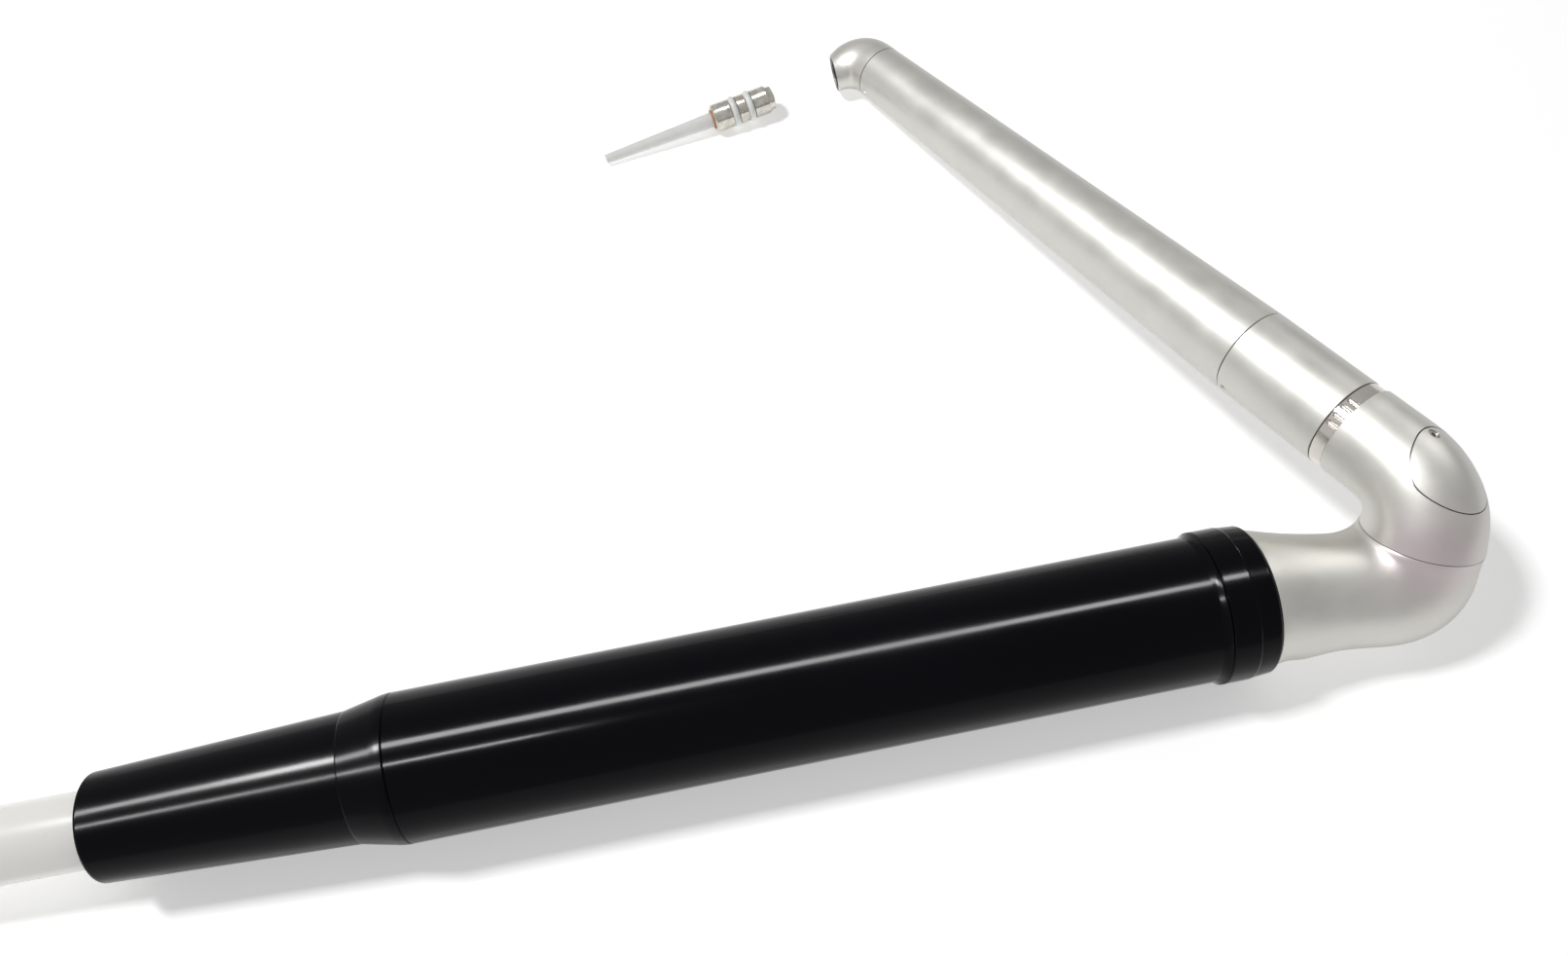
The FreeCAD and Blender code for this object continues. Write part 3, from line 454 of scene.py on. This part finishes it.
def frosted_guide():
    """Milky glass with ground sides, a little uneven in its cloudiness."""
    material, tree, shader = new_look("guide_glass", GUIDE_PALE, 0.34)
    shader.inputs["IOR"].default_value = SILICA_IOR
    shader.inputs["Transmission Weight"].default_value = 0.3
    cloud = noise(tree, 3 * MM, 3.0)
    vary_color(tree, shader, ranged(tree, cloud, 0.0, 1.0), GUIDE_PALE, GUIDE_CLOUDED)
    vary_roughness(tree, shader, cloud, 0.28, 0.42)
    bumped(tree, shader, (noise(tree, 0.4 * MM), 15 * MICRON))
    return material


def polished_glass(name, color, ior, transmission, roughness):
    """Optical glass or crystal with faint polishing haze."""
    material, tree, shader = new_look(name, color, roughness)
    shader.inputs["IOR"].default_value = ior
    shader.inputs["Transmission Weight"].default_value = transmission
    paler = tuple(min(1.0, part * 1.05) for part in color)
    vary_color(tree, shader, noise(tree, 2 * MM), color, paler)
    vary_roughness(tree, shader, noise(tree, 1.5 * MM, 3.0), roughness, roughness + 0.05)
    return material


def optic_glass():
    return polished_glass("optic_glass", (0.93, 0.96, 0.97), SILICA_IOR, 0.95, 0.02)


def laser_crystal():
    return polished_glass("laser_crystal", (0.82, 0.5, 0.64), CRYSTAL_IOR, 0.7, 0.12)


def mirror_coat():
    """A coated mirror with a faint gold tint and a little dust."""
    material, tree, shader = new_look("mirror_coat", (0.9, 0.86, 0.76), 0.04, 1.0)
    dust = noise(tree, 0.8 * MM, 4.0)
    vary_color(tree, shader, dust, (0.93, 0.89, 0.79), (0.86, 0.82, 0.74))
    vary_roughness(tree, shader, dust, 0.03, 0.1)
    return material


# which material each piece wears, by the slot that the frame gives its node
SLOT_LOOKS = {
    "sleeve_black": sleeve_black, "boot_black": boot_black,
    "blasted_aluminium": blasted_aluminium, "bright_steel": bright_steel,
    "nickel_plate": nickel_plate, "inner_steel": inner_steel,
    "inner_aluminium": inner_aluminium, "bush_polymer": bush_polymer,
    "seal_black": seal_black, "seal_white": seal_white, "seal_amber": seal_amber,
    "guide_glass": frosted_guide, "optic_glass": optic_glass, "laser_crystal": laser_crystal,
    "mirror_coat": mirror_coat, "reflector_ceramic": reflector_ceramic,
    "line_polymer": line_polymer, "relief_rubber": relief_rubber,
    "connector_black": connector_black, "insert_black": insert_black, "pin_brass": pin_brass}
CONNECTOR_METAL_NODES = ("connector_nose", "coupling_ring")


def wear(node, material):
    node.data.materials.clear()
    node.data.materials.append(material)


def add_looks(cord):
    wear(cord, cord_jacket())
    made = {slot: look() for slot, look in SLOT_LOOKS.items()}
    for part in frame["record"]["subparts"]:
        if part["material_slot"] in made:
            wear(frame["nodes"][part["node"]], made[part["material_slot"]])
    metal = connector_metal()
    for name in CONNECTOR_METAL_NODES:
        wear(frame["nodes"][name], metal)


# ================================================================ floor, light and surroundings
FLOOR_WHITE = (0.9, 0.9, 0.9)
FLOOR_GLOW = 0.445


def add_floor():
    """A plain white sheet that glows a little, so that it stays white round the object."""
    mesh = bpy.data.meshes.new("floor")
    corners = [(x * FLOOR_HALF, y * FLOOR_HALF, 0) for x, y in ((-1, -1), (1, -1), (1, 1), (-1, 1))]
    mesh.from_pydata(corners, [], [(0, 1, 2, 3)])
    material, _, shader = new_look("floor_white", FLOOR_WHITE, 0.9)
    shader.inputs["Specular IOR Level"].default_value = 0.0
    shader.inputs["Emission Color"].default_value = (1, 1, 1, 1)
    shader.inputs["Emission Strength"].default_value = FLOOR_GLOW
    mesh.materials.append(material)
    add_object("floor", mesh)


def add_area(name, towards, distance, width, depth, radiance, only=None):
    """A rectangular light that faces the object from a direction, its width along X. With a
    collection given, it lights only what is in it, and only by its reflection."""
    data = bpy.data.lights.new(name, "AREA")
    data.shape = "RECTANGLE"
    data.size = width
    data.size_y = depth
    data.energy = radiance * width * depth * math.pi
    back = Vector(towards).normalized()
    up = back.cross(BARREL).normalized()
    across = up.cross(back)
    turn = Matrix((across, up, back)).transposed()
    light = add_object(name, data)
    light.matrix_world = Matrix.Translation(back * distance) @ turn.to_4x4()
    if only:
        light.visible_diffuse = False
        light.light_linking.receiver_collection = only


def lit_group(name, slots):
    """A collection of the pieces in some material slots, for a light of their own."""
    group = bpy.data.collections.new(name)
    for part in frame["record"]["subparts"]:
        if part["material_slot"] in slots:
            group.objects.link(frame["nodes"][part["node"]])
    return group


ROOM_SEEN = 1.0
ROOM_REFLECTED_LEFT = 0.74
ROOM_REFLECTED_RIGHT = 0.48
ROOM_DIFFUSE = 0.22


def mixed(tree, factor, first, second):
    """A number between two, each a number or another node's output."""
    node = tree.nodes.new("ShaderNodeMix")
    tree.links.new(factor, node.inputs["Factor"])
    for socket, value in ((node.inputs["A"], first), (node.inputs["B"], second)):
        if isinstance(value, float):
            socket.default_value = value
        else:
            tree.links.new(value, socket)
    return node.outputs["Result"]


def add_world():
    """A white room: pure white behind everything, softer where it lights the object, and
    dimmer on the elbows' side where metal reflects it."""
    world = bpy.data.worlds.new("studio")
    bpy.context.scene.world = world
    world.use_nodes = True
    tree = world.node_tree
    place = tree.nodes.new("ShaderNodeTexCoord")
    split = tree.nodes.new("ShaderNodeSeparateXYZ")
    tree.links.new(place.outputs["Generated"], split.inputs[0])
    reflected = ranged(tree, split.outputs["X"],
                       ROOM_REFLECTED_LEFT, ROOM_REFLECTED_RIGHT, (-1, 1))
    path = tree.nodes.new("ShaderNodeLightPath")
    lit = mixed(tree, path.outputs["Is Glossy Ray"], ROOM_DIFFUSE, reflected)
    background = tree.nodes["Background"]
    background.inputs["Color"].default_value = (1, 1, 1, 1)
    tree.links.new(mixed(tree, path.outputs["Is Camera Ray"], lit, ROOM_SEEN),
                   background.inputs["Strength"])


def add_lights():
    """A small key light for the shadows, two strips that only the black parts reflect, and
    two broad panels that only the blasted metal reflects."""
    add_area("key", towards=(-0.5, 0.16, 1), distance=1.1, width=0.15, depth=0.15, radiance=97)
    black = lit_group("black_parts", ("sleeve_black", "boot_black"))
    add_area("tube_back", towards=(-0.2, 0.17, 1), distance=0.9, width=1.6, depth=0.11,
             radiance=62, only=black)
    add_area("tube_front", towards=(-0.62, -0.32, 1), distance=1.05, width=0.75, depth=0.05,
             radiance=80, only=black)
    metal = lit_group("metal_parts", ("blasted_aluminium",))
    add_area("softbox", towards=(-0.32, 0.06, 0.94), distance=1.0, width=1.0, depth=0.7,
             radiance=1.25, only=metal)
    add_area("elbow_light", towards=(0.68, 0.32, 0.65), distance=1.0, width=0.5, depth=0.45,
             radiance=1.5, only=metal)


add_camera()
cord = add_cord()
add_looks(cord)
add_floor()
add_world()
add_lights()
bpy.context.scene.view_settings.view_transform = "Standard"
